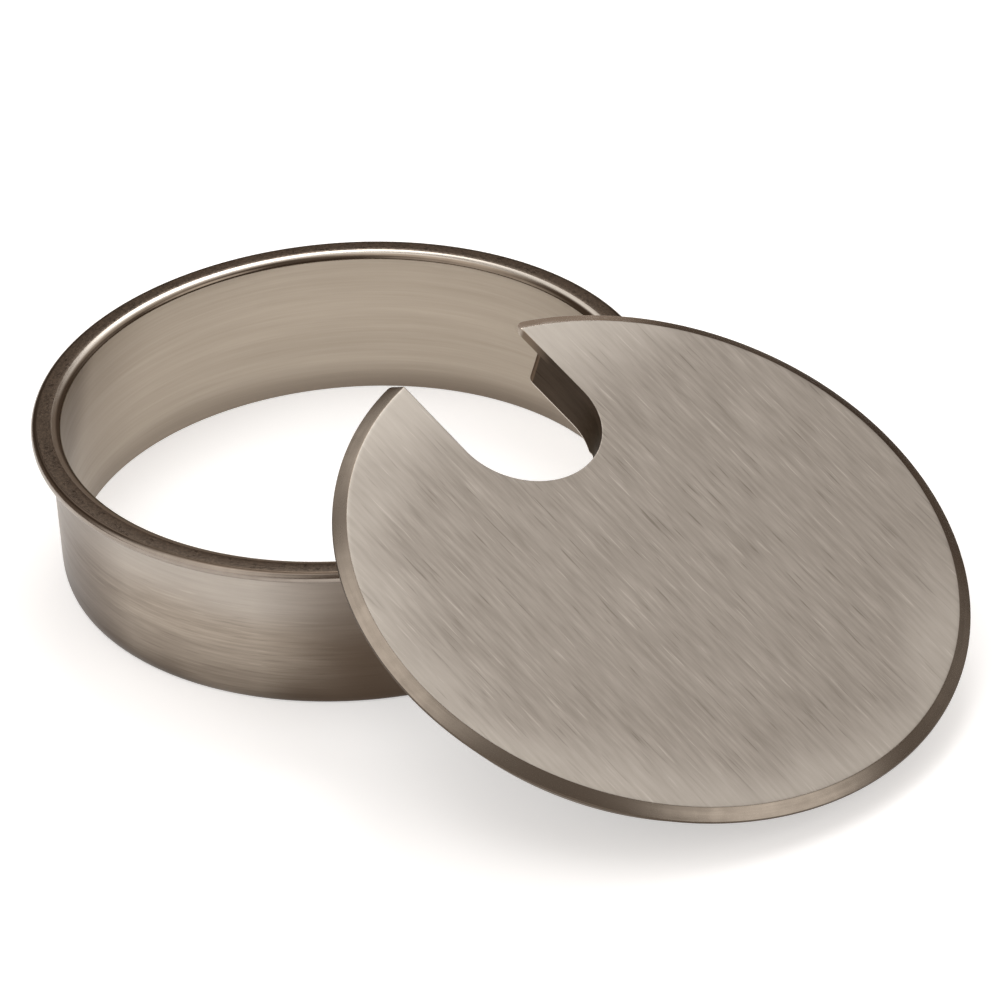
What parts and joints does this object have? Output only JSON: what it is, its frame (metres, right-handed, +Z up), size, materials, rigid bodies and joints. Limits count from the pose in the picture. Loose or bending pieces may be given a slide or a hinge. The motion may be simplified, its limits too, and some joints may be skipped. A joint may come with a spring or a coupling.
{
  "type": "desk grommet",
  "caption": "Round brushed-metal desk cable grommet: a flanged open liner with a notched, chamfered cover leaning on its rim.",
  "frame": {"origin": "centre of the pair's bounding box, on the surface the liner stands on", "axes": "+Z up along the liner's axis, +X level from the liner towards the low side of the leaning cover, +Y completes a right-handed frame"},
  "size_m": [0.137, 0.0872, 0.0349],
  "materials": {
    "liner_metal": "satin nickel, brushed round the axis",
    "cover_metal": "satin nickel, straight brush lines across the face"
  },
  "bodies": {
    "liner": {"liner": "liner_metal"},
    "cover": {"cover": "cover_metal"}
  },
  "joints": [
    {"name": "cover_lift", "type": "slide", "parent": "liner", "child": "cover", "axis": [0, 0, 1], "range_m": [0, 0.06]}
  ]
}
